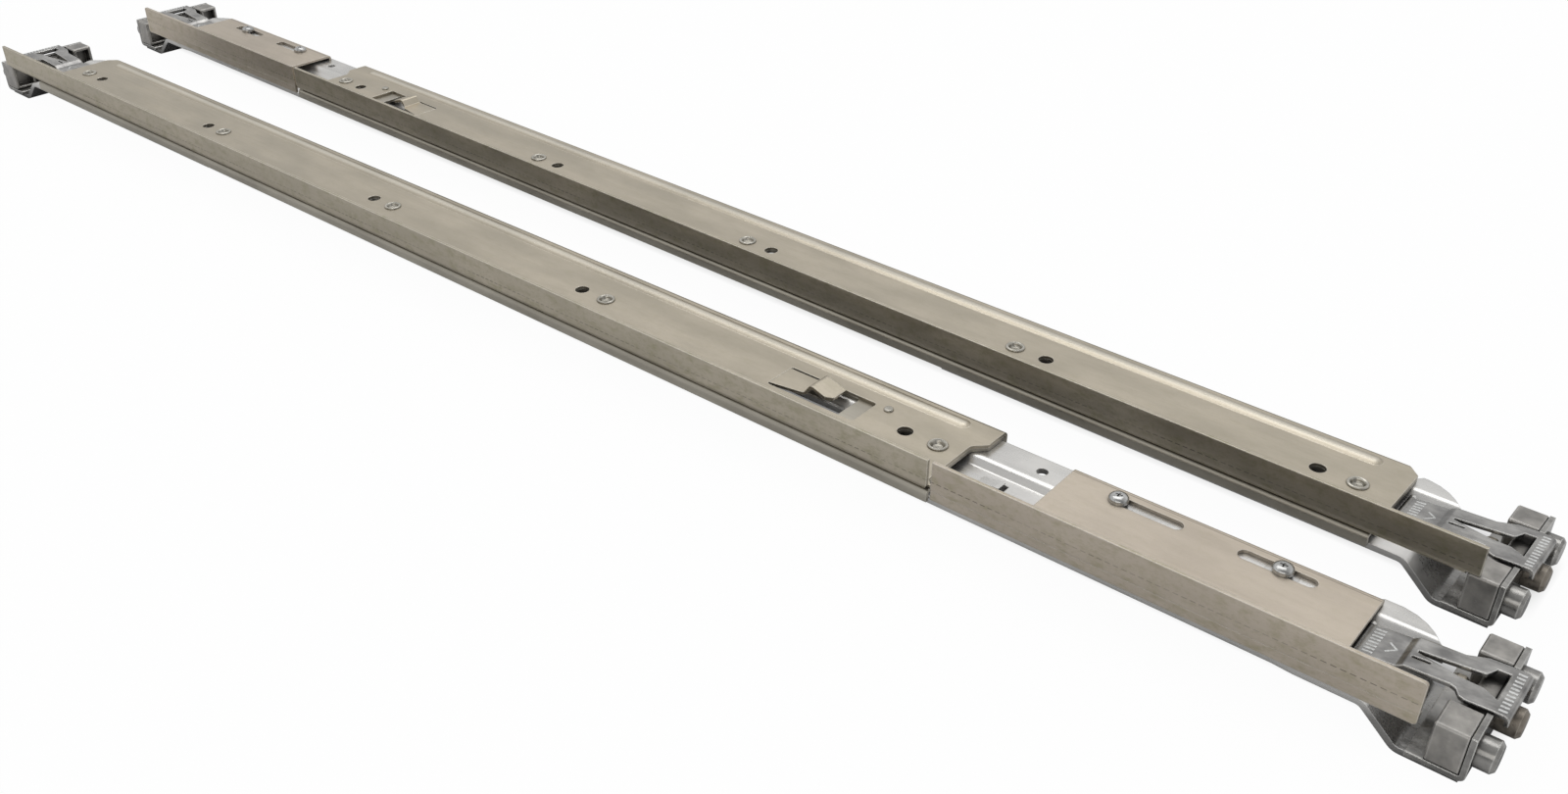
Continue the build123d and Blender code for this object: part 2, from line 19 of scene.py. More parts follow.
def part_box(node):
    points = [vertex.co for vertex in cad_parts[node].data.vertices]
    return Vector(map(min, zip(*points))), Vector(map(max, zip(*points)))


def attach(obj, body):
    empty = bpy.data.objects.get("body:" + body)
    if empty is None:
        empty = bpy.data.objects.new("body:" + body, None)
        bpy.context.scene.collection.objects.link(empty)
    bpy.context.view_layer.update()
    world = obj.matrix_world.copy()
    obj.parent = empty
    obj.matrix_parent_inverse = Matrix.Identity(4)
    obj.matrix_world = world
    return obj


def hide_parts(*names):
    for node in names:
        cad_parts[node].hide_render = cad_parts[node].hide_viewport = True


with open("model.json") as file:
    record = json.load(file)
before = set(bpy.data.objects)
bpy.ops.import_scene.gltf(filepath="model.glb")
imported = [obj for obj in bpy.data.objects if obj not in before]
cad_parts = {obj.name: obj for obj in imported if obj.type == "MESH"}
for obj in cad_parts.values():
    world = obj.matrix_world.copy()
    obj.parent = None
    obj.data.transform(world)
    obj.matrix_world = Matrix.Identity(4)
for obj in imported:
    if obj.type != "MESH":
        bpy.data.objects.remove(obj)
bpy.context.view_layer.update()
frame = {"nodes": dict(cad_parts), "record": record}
nodes = frame["nodes"]
print("pieces in the frame:", len(nodes))

# %% [markdown]
# ## One ruler for both rails
#
# Each rail has its own frame: x runs along it, y up the rack from the ledge wall, and
# z = 0 is the face that meets the server. The right rail is the mirror image of the left
# one and lies at a small angle beside it. Two matrices turn rail millimetres into scene
# metres, so every detail is made once and placed on both rails.

# %% Rail frames
sides = ("left", "right")
wall_front = -44.0
wall_height = 10.4
pair_offset = (644.0, 65.9)
pair_skew = 1.43
front_face_x = -49.7
rear_face_x = 706.7
mid_y = 21.9
ledge_low, ledge_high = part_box("left_ledge_rail")
rail_origin = Vector((ledge_low[0] - wall_front / 1000, ledge_low[1],
                      ledge_high[2] - wall_height / 1000))

to_left = Matrix.Translation(rail_origin) @ Matrix.Scale(0.001, 4)
to_right = (Matrix.Translation(rail_origin)
            @ Matrix.Translation((pair_offset[0] / 1000, pair_offset[1] / 1000, 0))
            @ Matrix.Rotation(radians(-pair_skew), 4, "Z")
            @ Matrix.Scale(0.001, 4) @ Matrix.Scale(-1, 4, (1, 0, 0)))
rail_frames = {"left": to_left, "right": to_right}
print("left rail starts at", [round(c, 4) for c in rail_origin])

# %% [markdown]
# ## The camera
#
# The photographer stood near the rear end of the left rail and looked along both rails
# from a little above. The place and direction of the camera were solved from the rivets,
# holes and sheet corners that the photograph shows, so the render lies over it.

# %% Camera
camera_place = Vector((738.87, -301.35, 256.76))
camera_right = Vector((0.76753, 0.641003, 0.003659))
camera_down = Vector((0.343754, -0.406776, -0.846384))
camera_ahead = Vector((-0.541046, 0.650883, -0.53256))
focal_pixels = 1466.4
image_width = 1600

camera_data = bpy.data.cameras.new("camera")
camera_data.sensor_width = 36.0
camera_data.lens = focal_pixels / image_width * camera_data.sensor_width
camera_data.clip_start = 0.01
camera = bpy.data.objects.new("camera", camera_data)
bpy.context.scene.collection.objects.link(camera)
turn = Matrix((camera_right, -camera_down, -camera_ahead)).transposed().to_4x4()
camera.matrix_world = Matrix.Translation(to_left @ camera_place) @ turn
bpy.context.scene.camera = camera
print("lens", round(camera_data.lens, 2), "mm")

# %% [markdown]
# ## Small tools for shader nodes
#
# The studio and every finish are graphs of shader nodes. A few helpers keep them short.
# One stretches a value to a new range, one does a sum, one takes a single coordinate out
# of a vector, one blends two shaders, and one tells which rays look at a surface and
# which only carry its light.

# %% Node helpers
def empty_tree(owner):
    """Node tree of a world or a material, with nothing in it yet."""
    owner.use_nodes = True
    owner.node_tree.nodes.clear()
    return owner.node_tree


def ramp(tree, value, low, high, dark=0.0, bright=1.0):
    """Stretch a value from low..high to dark..bright."""
    node = tree.nodes.new("ShaderNodeMapRange")
    node.inputs["From Min"].default_value = low
    node.inputs["From Max"].default_value = high
    node.inputs["To Min"].default_value = dark
    node.inputs["To Max"].default_value = bright
    tree.links.new(value, node.inputs["Value"])
    return node.outputs["Result"]


def calculate(tree, operation, first, second=0.0):
    """One sum of two sockets or numbers."""
    node = tree.nodes.new("ShaderNodeMath")
    node.operation = operation
    for value, socket in ((first, node.inputs[0]), (second, node.inputs[1])):
        if isinstance(value, float):
            socket.default_value = value
        else:
            tree.links.new(value, socket)
    return node.outputs[0]


def coordinate(tree, vector, axis):
    """The X, Y or Z of a vector socket."""
    split = tree.nodes.new("ShaderNodeSeparateXYZ")
    tree.links.new(vector, split.inputs[0])
    return split.outputs[axis]


def mix_shaders(tree, factor, first, second):
    """Blend two shaders: the first at 0, the second at 1."""
    node = tree.nodes.new("ShaderNodeMixShader")
    tree.links.new(factor, node.inputs["Fac"])
    tree.links.new(first, node.inputs[1])
    tree.links.new(second, node.inputs[2])
    return node.outputs[0]


def seen_rays(tree):
    """1 for camera, glossy and transmission rays, and the glossy socket alone."""
    path = tree.nodes.new("ShaderNodeLightPath").outputs
    seen = calculate(tree, "MAXIMUM", path["Is Camera Ray"], path["Is Glossy Ray"])
    return calculate(tree, "MAXIMUM", seen, path["Is Transmission Ray"]), path["Is Glossy Ray"]


print("node helpers: empty_tree, ramp, calculate, coordinate, mix_shaders, seen_rays")

# %% [markdown]
# ## Studio
#
# The rails were photographed against white. The world is white where the camera or a
# reflection looks at it, a little greyer overhead and low down than in between, because
# the gloss of a flat sheet comes from that sky and fades towards the photographer. The
# room behind the photographer is dark, and gives screw heads and bent edges their
# contrast. Everything else is lit at a plain level, at which a colour renders about as it
# is written.

# %% World
soft_colour = (0.96, 0.98, 1.0, 1)
soft_light = 0.6
dark_room_direction = (0.55, -0.66, 0.5)
# Each greying runs from one height or nearness to another, and from 0 to its depth.
overhead_greying = (0.5, 0.85, 0.0, 0.35)
low_greying = (0.5, 0.22, 0.0, 0.42)
room_greying = (0.45, 0.8, 0.0, 0.65)

bpy.context.scene.view_settings.view_transform = "Standard"
world = bpy.data.worlds.new("studio")
bpy.context.scene.world = world
tree = empty_tree(world)
out = tree.nodes.new("ShaderNodeOutputWorld")
soft = tree.nodes.new("ShaderNodeBackground")
soft.inputs["Color"].default_value = soft_colour
soft.inputs["Strength"].default_value = soft_light
seen_sky = tree.nodes.new("ShaderNodeBackground")
seen, glossy = seen_rays(tree)
direction = tree.nodes.new("ShaderNodeTexCoord").outputs["Generated"]
height = coordinate(tree, direction, "Z")
sky_grey = calculate(tree, "MAXIMUM", ramp(tree, height, *overhead_greying),
                     ramp(tree, height, *low_greying))
facing_room = tree.nodes.new("ShaderNodeVectorMath")
facing_room.operation = "DOT_PRODUCT"
facing_room.inputs[1].default_value = dark_room_direction
tree.links.new(direction, facing_room.inputs[0])
room_grey = ramp(tree, facing_room.outputs["Value"], *room_greying)
darker = calculate(tree, "MULTIPLY", calculate(tree, "MAXIMUM", sky_grey, room_grey), glossy)
tree.links.new(calculate(tree, "SUBTRACT", 1.0, darker), seen_sky.inputs["Strength"])
tree.links.new(mix_shaders(tree, seen, soft.outputs[0], seen_sky.outputs[0]),
               out.inputs["Surface"])
print("soft light", soft_light, "and darkest reflection", round(1 - room_greying[-1], 2))

# %% [markdown]
# A pattern that belongs to a rail has to be laid out in that rail's own millimetres.
# Texture Coordinate gives scene metres, and a Mapping node turns, scales and shifts them
# into the frame of the rail, which mirrors them for the right one.

# %% Rail millimetres in a material
def rail_coordinates(tree, side):
    """Object coordinates as millimetres in the frame of this rail."""
    where = tree.nodes.new("ShaderNodeTexCoord")
    ruler = tree.nodes.new("ShaderNodeMapping")
    mirror = -1 if side == "right" else 1
    skew = -radians(pair_skew) if side == "right" else 0
    ruler.inputs["Location"].default_value = rail_frames[side].inverted().translation
    ruler.inputs["Scale"].default_value = (1000 * mirror, 1000, 1000)
    ruler.inputs["Rotation"].default_value = (0, 0, skew)
    tree.links.new(where.outputs["Object"], ruler.inputs["Vector"])
    return ruler.outputs["Vector"]


print("right rail is turned by", pair_skew, "degrees")

# %% [markdown]
# The floor is white paper that glows at the white of the background. Each rail keeps a
# shadow under it, which shows through slots and holes and a little past the rail's far
# edge. Its place is known, so it is drawn in rail millimetres. The metal reflects the
# floor greyer near the rails, and most of all between them, where less light reaches it:
# Ambient Occlusion finds how closed in a place is.

# %% Floor
paper_colour = (0.9, 0.9, 0.9, 1)
paper_glow = 0.97
paper_size = 14
paper_gap = 0.0004
# Where the shadow starts, is full, fades and ends, along the rail and across it.
shadow_x = (-58, -46, 700, 712)
shadow_y = (12, 28, 40, 51)
shadow_level = 0.22
mirror_reach = 0.1
mirror_greying = (0.4, 1.0, 0.02, 0.62)
corner_samples = 6


def nearness(tree, distance):
    """Ambient occlusion: 1 in the open, 0 in a closed corner."""
    node = tree.nodes.new("ShaderNodeAmbientOcclusion")
    node.samples = corner_samples
    node.inputs["Distance"].default_value = distance
    return node.outputs["AO"]


def rail_shadow(tree, side):
    """1 on the floor under this rail, fading at its ends and along its sides."""
    where = rail_coordinates(tree, side)
    stretches = []
    for axis, (start, full, fading, end) in (("X", shadow_x), ("Y", shadow_y)):
        place = coordinate(tree, where, axis)
        stretches.append(calculate(tree, "MULTIPLY", ramp(tree, place, start, full),
                                   ramp(tree, place, end, fading)))
    return calculate(tree, "MULTIPLY", *stretches)


paper = bpy.data.materials.new("white_paper")
tree = empty_tree(paper)
out = tree.nodes.new("ShaderNodeOutputMaterial")
diffuse = tree.nodes.new("ShaderNodeBsdfDiffuse")
diffuse.inputs["Color"].default_value = paper_colour
glow = tree.nodes.new("ShaderNodeEmission")
seen, glossy = seen_rays(tree)
shadow = calculate(tree, "MAXIMUM", rail_shadow(tree, "left"), rail_shadow(tree, "right"))
level = tree.nodes.new("ShaderNodeMix")
tree.links.new(glossy, level.inputs["Factor"])
tree.links.new(ramp(tree, shadow, 0.0, 1.0, 1.0, shadow_level), level.inputs["A"])
tree.links.new(ramp(tree, nearness(tree, mirror_reach), *mirror_greying), level.inputs["B"])
tree.links.new(level.outputs["Result"], glow.inputs["Strength"])
white = calculate(tree, "MULTIPLY", seen, paper_glow)
tree.links.new(mix_shaders(tree, white, diffuse.outputs[0], glow.outputs[0]),
               out.inputs["Surface"])

bpy.ops.object.select_all(action="DESELECT")
bpy.ops.mesh.primitive_plane_add(size=paper_size, location=(0, 0, -paper_gap))
floor = bpy.context.object
floor.name = "floor"
floor.data.materials.append(paper)
print("floor of", round(floor.dimensions.x, 1), "m")

# %% [markdown]
# The world gives most of the light. A large softbox above and a weaker, slightly warm one
# in front add the soft direction that shows the bends, without a hard shadow.

# %% Lamps
def soft_lamp(name, place, size, watts, colour=(1, 1, 1)):
    """Rectangular softbox that looks at the middle of the floor."""
    data = bpy.data.lights.new(name, "AREA")
    data.shape = "RECTANGLE"
    data.size, data.size_y = size
    data.energy = watts
    data.color = colour
    lamp = bpy.data.objects.new(name, data)
    bpy.context.scene.collection.objects.link(lamp)
    lamp.location = Vector(place)
    lamp.rotation_euler = (-lamp.location).to_track_quat("-Z", "Y").to_euler()
    print(name, watts, "W")


soft_lamp("ceiling_softbox", place=(-0.3, 0.5, 1.7), size=(1.6, 1.0), watts=8)
soft_lamp("front_softbox", place=(0.7, -1.4, 0.9), size=(1.6, 0.8), watts=4,
          colour=(1.0, 0.98, 0.95))

# %% [markdown]
# ## Metal
#
# Every piece is zinc or steel, and one recipe gives them all: a metal whose colour drifts
# in faint clouds, with fine drawn lines along the sheet where the forming rollers rubbed
# it, painted shade in the corners that light hardly reaches, and brighter edges, partly
# worn and partly a painted highlight. A Bevel node rounds the sharp CAD edges for the
# light, and the same rounded normal, compared with the true one, finds those edges.

# %% Finish helpers
edge_samples = 4
# The two normals agree this much on a flat face and on an edge that is fully painted worn and
# bright.
wear_and_highlight_band = (0.99, 0.86)


def noise(tree, vector, size, detail=3.0, rough=0.55):
    """Noise from 0 to 1 with blotches of this size in millimetres along x, y and z."""
    mapping = tree.nodes.new("ShaderNodeMapping")
    mapping.inputs["Scale"].default_value = [1 / length for length in size]
    tree.links.new(vector, mapping.inputs["Vector"])
    texture = tree.nodes.new("ShaderNodeTexNoise")
    texture.inputs["Scale"].default_value = 1.0
    texture.inputs["Detail"].default_value = detail
    texture.inputs["Roughness"].default_value = rough
    tree.links.new(mapping.outputs["Vector"], texture.inputs["Vector"])
    return texture.outputs["Fac"]


def mix_colour(tree, factor, first, second):
    """Blend two colours, each given as three numbers or as a socket."""
    node = tree.nodes.new("ShaderNodeMix")
    node.data_type = "RGBA"
    tree.links.new(factor, node.inputs["Factor"])
    sockets = [socket for socket in node.inputs if socket.type == "RGBA"]
    for value, socket in zip((first, second), sockets):
        if isinstance(value, tuple):
            socket.default_value = (*value, 1)
        else:
            tree.links.new(value, socket)
    return [socket for socket in node.outputs if socket.type == "RGBA"][0]


def darkened(colour, share):
    """The same colour with this share of its light."""
    return tuple(part * share for part in colour)


def rounded_normal(tree, radius):
    """Surface direction as if every edge had this radius, in metres."""
    node = tree.nodes.new("ShaderNodeBevel")
    node.samples = edge_samples
    node.inputs["Radius"].default_value = radius
    return node.outputs["Normal"]


def edge_wear_and_highlight(tree, rounded):
    """1 on rounded edges, which take a worn colour and a painted highlight; 0 on flat faces."""
    true_normal = tree.nodes.new("ShaderNodeNewGeometry")
    dot = tree.nodes.new("ShaderNodeVectorMath")
    dot.operation = "DOT_PRODUCT"
    tree.links.new(rounded, dot.inputs[0])
    tree.links.new(true_normal.outputs["Normal"], dot.inputs[1])
    return ramp(tree, dot.outputs["Value"], *wear_and_highlight_band)


print("finish helpers: noise, mix_colour, darkened, rounded_normal, edge_wear_and_highlight")

# %% [markdown]
# The long plates carry marks of how they were made and used. A knurled roller presses a
# finely dashed line along the ledge wall, and grips leave dull blotches. A thin dark line
# is painted as shade along a fold, and a painted highlight runs along the crown of the long
# bead. A bracket is painted darker low down, as shade. Each mark is a value from 0 to 1,
# found from the place on the rail and broken up by noise.

# %% Marks of making and use
roller_level = 3.3
roller_width = 0.38
dash_pitch = 2.6
# Width of the painted shade line along a fold.
fold_shade_width = 0.5
mottled_tint = (0.78, 0.8, 0.66)
# Share of light left in the pressed roller line and in the painted shade along a fold.
pressed_and_fold_shade_share = 0.3


def distance_from(tree, place, level):
    """How far a coordinate is from a level, in millimetres."""
    return calculate(tree, "ABSOLUTE", calculate(tree, "SUBTRACT", place, level))


def forming_line(tree, where):
    """Finely dashed dark line along the ledge wall, where a knurled roller pressed it."""
    off_line = distance_from(tree, coordinate(tree, where, "Z"), roller_level)
    band = ramp(tree, off_line, roller_width / 2, roller_width / 4)
    on_wall = ramp(tree, coordinate(tree, where, "Y"), 1.0, 0.6)
    turns = calculate(tree, "MULTIPLY", coordinate(tree, where, "X"), 2 * pi / dash_pitch)
    dashes = ramp(tree, calculate(tree, "SINE", turns), -0.6, -0.2)
    pressure = ramp(tree, noise(tree, where, (30, 60, 60)), 0.36, 0.6, 0.1, 0.85)
    line = calculate(tree, "MULTIPLY", band, on_wall)
    return calculate(tree, "MULTIPLY", line, calculate(tree, "MULTIPLY", dashes, pressure))


def fold_shade_line(tree, where, bend_y):
    """Painted shade: thin dark line along the far edge of a plate, where its fold begins."""
    off_line = distance_from(tree, coordinate(tree, where, "Y"), bend_y)
    line = ramp(tree, off_line, fold_shade_width / 2, fold_shade_width / 4, 0.0, 0.55)
    on_top = ramp(tree, coordinate(tree, where, "Z"), -0.4, -0.2)
    return calculate(tree, "MULTIPLY", line, on_top)


def mottling(tree, where):
    """Dull blotches and fine stains on the ledge wall, where the sheet was gripped."""
    on_wall = ramp(tree, coordinate(tree, where, "Y"), 1.6, 0.8, 0.2, 0.85)
    blotches = ramp(tree, noise(tree, where, (6, 3, 3), 6.0, 0.7), 0.48, 0.68)
    stains = ramp(tree, noise(tree, where, (2.2, 1.2, 1.2), 4.0, 0.7), 0.52, 0.7, 0.0, 0.7)
    return calculate(tree, "MULTIPLY", calculate(tree, "MAXIMUM", blotches, stains), on_wall)


def painted_bead_highlight(tree, where):
    """Painted highlight: 1 along the crown of the long bead."""
    crown = ramp(tree, coordinate(tree, where, "Z"), 0.45, 0.8, 0.0, 0.45)
    far_half = ramp(tree, coordinate(tree, where, "Y"), 31.0, 33.0)
    return calculate(tree, "MULTIPLY", crown, far_half)


def painted_low_shade(tree, where):
    """Painted shade: 1 low down on a bracket, where it dips."""
    return ramp(tree, coordinate(tree, where, "Z"), -5.6, -9.0, 0.0, 0.75)


def plate_marks(tree, where, dark, worn_and_highlight, bend_y):
    """The marks of a long plate, each as how much it covers and its colour: real marks, painted
    shade along the fold and a painted highlight on the bead.
    """
    mottled = tuple(part * tint for part, tint in zip(dark, mottled_tint))
    pressed_and_fold_shade = darkened(dark, pressed_and_fold_shade_share)
    # Mottling and the roller line are real marks; the fold line is painted shade and the bead
    # crown a painted highlight.
    return [(mottling(tree, where), mottled), (forming_line(tree, where), pressed_and_fold_shade),
            (painted_bead_highlight(tree, where), worn_and_highlight), (fold_shade_line(tree, where, bend_y), pressed_and_fold_shade)]


print("marks: forming_line, fold_shade_line, mottling, painted_bead_highlight, tarnish")

# %% [markdown]
# The recipe lays the colours one over the other, like glazes: clouds first, then drawn
# lines, specks, marks, edges painted worn and bright, and painted shade in the corners. The
# same clouds and lines also change the gloss, and a fine grain gives the relief, so colour
# and shine agree with each other.

# %% The metal recipe
metallic_share = 0.9
grain_size = 0.35
relief_depth = 0.0002
# Noise, or openness of a corner, between which a pattern goes from nothing to full.
cloud_band = (0.35, 0.65)
line_band = (0.5, 0.75)
speck_band = (0.58, 0.70)
corner_band = (0.25, 0.85)
# The same for roughness, with what the drawn lines take from it or add to it.
cloud_gloss = (0.3, 0.7)
line_gloss = (0.4, 0.7, -0.04, 0.06)
# Share of the dull colour's light that is left in specks, and in the painted shade low down and
# in corners.
speck_share = 0.45
low_shade_share = 0.4
corner_shade_share = 0.2


def coloured(tree, surface, first, glazes):
    """Lay glazes over a first colour, each with how much it covers."""
    colour = first
    for cover, glaze in glazes:
        colour = mix_colour(tree, cover, colour, glaze)
    tree.links.new(colour, surface.inputs["Base Color"])


def glossy_and_raised(tree, surface, clouds, lines, grain, rounded, rough, relief):
    """Roughness and relief of a surface, from the clouds and lines that colour it."""
    gloss = calculate(tree, "ADD", ramp(tree, clouds, *cloud_gloss, *rough),
                      ramp(tree, lines, *line_gloss))
    tree.links.new(gloss, surface.inputs["Roughness"])
    bump = tree.nodes.new("ShaderNodeBump")
    bump.inputs["Strength"].default_value = relief
    bump.inputs["Distance"].default_value = relief_depth
    tree.links.new(calculate(tree, "ADD", grain, lines), bump.inputs["Height"])
    tree.links.new(rounded, bump.inputs["Normal"])
    tree.links.new(bump.outputs["Normal"], surface.inputs["Normal"])


def metal(side, name, base, dark, worn_and_highlight, rough=(0.3, 0.5), cloud=(40, 12, 12),
          streak=(120, 1.2, 1.2), streak_strength=0.4, edge=0.35, relief=0.12, speck=0.0,
          corner_shade=0.7, corner_shade_reach=4.0, bend_y=None, dips=False):
    """Rolled or cast metal: clouds, drawn lines, painted shade in corners, and worn edges with
    a painted highlight, in colour, gloss and relief.
    """
    material = bpy.data.materials.new(f"{name}_{side}")
    tree = empty_tree(material)
    out = tree.nodes.new("ShaderNodeOutputMaterial")
    surface = tree.nodes.new("ShaderNodeBsdfPrincipled")
    surface.inputs["Metallic"].default_value = metallic_share
    tree.links.new(surface.outputs[0], out.inputs["Surface"])
    where = rail_coordinates(tree, side)
    clouds = noise(tree, where, cloud, 4.0)
    lines = noise(tree, where, streak)
    grain = noise(tree, where, (grain_size, grain_size, grain_size), 2.0)
    rounded = rounded_normal(tree, edge / 1000)

    glazes = [(ramp(tree, lines, *line_band, 0.0, streak_strength), dark)]
    if speck:
        specks = noise(tree, where, (speck, speck, speck), 5.0, 0.7)
        glazes.append((ramp(tree, specks, *speck_band), darkened(dark, speck_share)))
    if bend_y:
        glazes += plate_marks(tree, where, dark, worn_and_highlight, bend_y)
    # Painted shade: a bracket darker low down.
    if dips:
        glazes.append((painted_low_shade(tree, where), darkened(dark, low_shade_share)))
    # Edges: partly real wear, partly a painted highlight.
    glazes.append((edge_wear_and_highlight(tree, rounded), worn_and_highlight))
    # Painted shade: darker in corners that ambient occlusion finds closed in.
    corners = ramp(tree, nearness(tree, corner_shade_reach / 1000), *corner_band, corner_shade, 0.0)
    glazes.append((corners, darkened(dark, corner_shade_share)))
    clean_or_dull = mix_colour(tree, ramp(tree, clouds, *cloud_band), dark, base)
    coloured(tree, surface, clean_or_dull, glazes)
    glossy_and_raised(tree, surface, clouds, lines, grain, rounded, rough, relief)
    return material


print("every finish is", metallic_share, "metal")

# %% [markdown]
# The ledge rail is warm grey galvanised sheet, and the channel under it is a cooler one.
# The ledge extension is beige, the sliding bracket is bright smooth zinc, and the casting
# and the centre boss are rough and dark. A finish is written once, as its colours in clean
# and dull places and on its worn, highlighted edges, and what differs from the plain
# recipe, and made for each rail.

# %% Finishes
rail_bend_y = 41.9
extension_bend_y = 37.4
fine = (8, 4, 4)
cast = (3, 3, 3)
# A finish's worn colour is also painted on its edges as a highlight, and its corner shade and
# reach set how dark and how wide the painted shade in corners is.
recipes = {
    "rail_steel": dict(
        name="galvanised_sheet", base=(0.60, 0.54, 0.44), dark=(0.51, 0.46, 0.37),
        worn_and_highlight=(0.98, 0.94, 0.84), rough=(0.32, 0.44), streak_strength=0.3, edge=0.5,
        bend_y=rail_bend_y),
    "channel_steel": dict(
        name="channel_sheet", base=(0.56, 0.525, 0.45), dark=(0.42, 0.39, 0.33),
        worn_and_highlight=(0.74, 0.72, 0.66), rough=(0.30, 0.42), corner_shade_reach=7.0),
    "extension_steel": dict(
        name="extension_sheet", base=(0.66, 0.585, 0.49), dark=(0.58, 0.51, 0.425),
        worn_and_highlight=(0.98, 0.94, 0.86), rough=(0.34, 0.46), streak_strength=0.15, edge=0.5,
        bend_y=extension_bend_y),
    "bracket_zinc": dict(
        name="bright_zinc", base=(0.84, 0.825, 0.80), dark=(0.68, 0.67, 0.65),
        worn_and_highlight=(0.95, 0.95, 0.94), rough=(0.24, 0.36), cloud=(30, 14, 14),
        streak_strength=0.15, relief=0.05, corner_shade=0.2, corner_shade_reach=2.5, dips=True),
    "latch_zinc": dict(
        name="latch_zinc", base=(0.52, 0.51, 0.49), dark=(0.25, 0.245, 0.24),
        worn_and_highlight=(1.0, 0.99, 0.96), rough=(0.12, 0.24), cloud=(9, 6, 6), streak=(30, 1, 1),
        edge=0.7, relief=0.05, corner_shade=0.95, corner_shade_reach=5.0),
    "die_cast": dict(
        name="die_cast_zinc", base=(0.47, 0.45, 0.42), dark=(0.28, 0.27, 0.255),
        worn_and_highlight=(0.85, 0.83, 0.79), rough=(0.3, 0.46), cloud=(7, 7, 7), streak=cast,
        edge=0.8, relief=0.25, corner_shade=0.95, corner_shade_reach=6.0),
    "pin_steel": dict(
        name="pin_zinc", base=(0.44, 0.43, 0.41), dark=(0.26, 0.255, 0.245),
        worn_and_highlight=(0.98, 0.97, 0.93), rough=(0.12, 0.26), cloud=fine, streak=cast,
        edge=0.6, corner_shade=0.9, corner_shade_reach=5.0),
    "boss_cast": dict(
        name="boss_casting", base=(0.40, 0.36, 0.31), dark=(0.20, 0.175, 0.145),
        worn_and_highlight=(0.66, 0.61, 0.54), rough=(0.34, 0.5), cloud=cast, streak=cast,
        relief=0.4, speck=1.0),
    "rivet_steel": dict(
        name="bright_rivet", base=(0.66, 0.63, 0.56), dark=(0.44, 0.42, 0.37),
        worn_and_highlight=(0.95, 0.93, 0.88), rough=(0.2, 0.34), cloud=fine, streak=cast,
        edge=0.1, corner_shade=0.95, corner_shade_reach=2.4),
    "screw_steel": dict(
        name="bright_screw", base=(0.64, 0.64, 0.63), dark=(0.42, 0.42, 0.41),
        worn_and_highlight=(0.95, 0.95, 0.95), rough=(0.14, 0.24), cloud=fine, streak=cast,
        edge=0.15, relief=0.04, corner_shade=0.6, corner_shade_reach=1.2),
    "spring_steel": dict(
        name="spring_steel", base=(0.60, 0.55, 0.46), dark=(0.40, 0.365, 0.30),
        worn_and_highlight=(0.92, 0.86, 0.76), rough=(0.2, 0.32), cloud=fine, streak=cast),
}
finishes = {side: {slot: metal(side, **recipe) for slot, recipe in recipes.items()}
            for side in sides}
print("finishes per rail:", len(recipes))

# %% [markdown]
# The printed marks on the levers are thin matt white paint, a little uneven, as pad
# printing leaves it.

# %% Marking paint
paint_thin = (0.52, 0.52, 0.50)
paint_full = (0.80, 0.80, 0.78)
paint_roughness = 0.55
paint_blotch = (0.8, 0.8, 0.8)
paint_band = (0.35, 0.6)
marking_paint = bpy.data.materials.new("marking_paint")
tree = empty_tree(marking_paint)
out = tree.nodes.new("ShaderNodeOutputMaterial")
surface = tree.nodes.new("ShaderNodeBsdfPrincipled")
surface.inputs["Roughness"].default_value = paint_roughness
blotches = noise(tree, rail_coordinates(tree, "left"), paint_blotch)
cover = ramp(tree, blotches, *paint_band)
tree.links.new(mix_colour(tree, cover, paint_thin, paint_full), surface.inputs["Base Color"])
tree.links.new(surface.outputs[0], out.inputs["Surface"])
print("paint:", marking_paint.name)

# %% [markdown]
# Each CAD piece names its finish in the record of the part. The pin plates are recorded as
# bracket zinc, and handling has dulled them like the pins, so they take the pins' finish.

# %% Dress the CAD pieces
slot_of = {entry["node"]: entry["material_slot"] for entry in frame["record"]["subparts"]}
for name, node in nodes.items():
    side = name.split("_")[0]
    finish = "pin_steel" if name.endswith("pin_plate") else slot_of[name]
    node.data.materials.clear()
    node.data.materials.append(finishes[side][finish])
print("dressed", len(nodes))

# %% [markdown]
# ## Turned pieces
#
# Rivets and screws are round, so each starts as a short cylinder. Its top face is extruded
# and scaled step by step, as a turner works along a bar, which gives the flared rim and
# the dish of a rivet, or the dome of a screw. A small Bevel modifier softens the corners.

# %% Turning and softening
smooth_below = radians(30)
bevel_above = radians(35)


def select_end(piece, upward):
    """In edit mode, select the faces that look up (1) or down (-1)."""
    bpy.ops.mesh.select_mode(type="FACE")
    shape = bmesh.from_edit_mesh(piece.data)
    for face in shape.faces:
        face.select_set(face.normal.z * upward > 0.9)
    bmesh.update_edit_mesh(piece.data)


def turned(name, steps, segments=40):
    """Solid of revolution about z from (radius, level) steps in millimetres, bottom first."""
    (radius, bottom), (_, top) = steps[:2]
    bpy.ops.object.select_all(action="DESELECT")
    bpy.ops.mesh.primitive_cylinder_add(vertices=segments, radius=radius, depth=top - bottom,
                                        location=(0, 0, (top + bottom) / 2))
    bpy.ops.object.transform_apply(location=True, rotation=True, scale=True)
    piece = bpy.context.object
    piece.name = name
    bpy.ops.object.mode_set(mode="EDIT")
    select_end(piece, 1)
    for (radius_before, level_before), (radius, level) in zip(steps[1:], steps[2:]):
        bpy.ops.mesh.extrude_region_move(
            TRANSFORM_OT_translate={"value": (0, 0, level - level_before)})
        growth = radius / radius_before
        bpy.ops.transform.resize(value=(growth, growth, 1), center_override=(0, 0, level))
    bpy.ops.object.mode_set(mode="OBJECT")
    return piece


